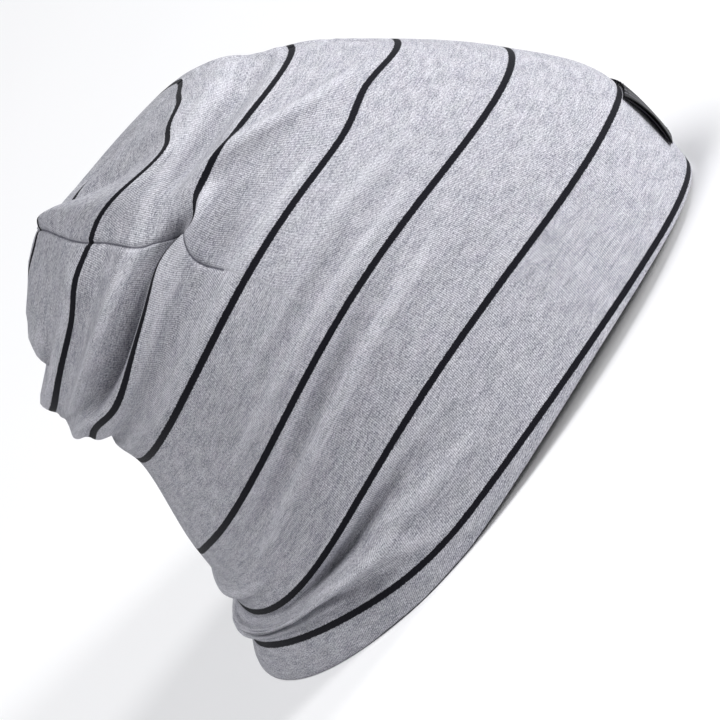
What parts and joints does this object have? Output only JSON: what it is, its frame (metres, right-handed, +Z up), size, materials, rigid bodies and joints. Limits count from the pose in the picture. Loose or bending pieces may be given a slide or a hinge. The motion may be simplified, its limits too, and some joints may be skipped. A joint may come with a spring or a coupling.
{
  "type": "knit toque",
  "caption": "Slouchy double-layer jersey hat in heather grey with thin dark stripes round it, worn shape, open at the rim, with a plain dark label at the front.",
  "frame": {"origin": "middle of the bounding box's underside, on the surface that the rim rests on", "axes": "+Z up out of the crown, -Y the wearer's face side with the label, -X the wearer's right"},
  "size_m": [0.1546, 0.2068, 0.1458],
  "materials": {
    "heather_grey_jersey": "soft brushed cotton jersey, thin black stripes round the hat",
    "black_woven_label": "tightly woven, bare"
  },
  "bodies": {
    "root": {"jersey_shell": "heather_grey_jersey", "front_label": "black_woven_label"}
  },
  "joints": []
}
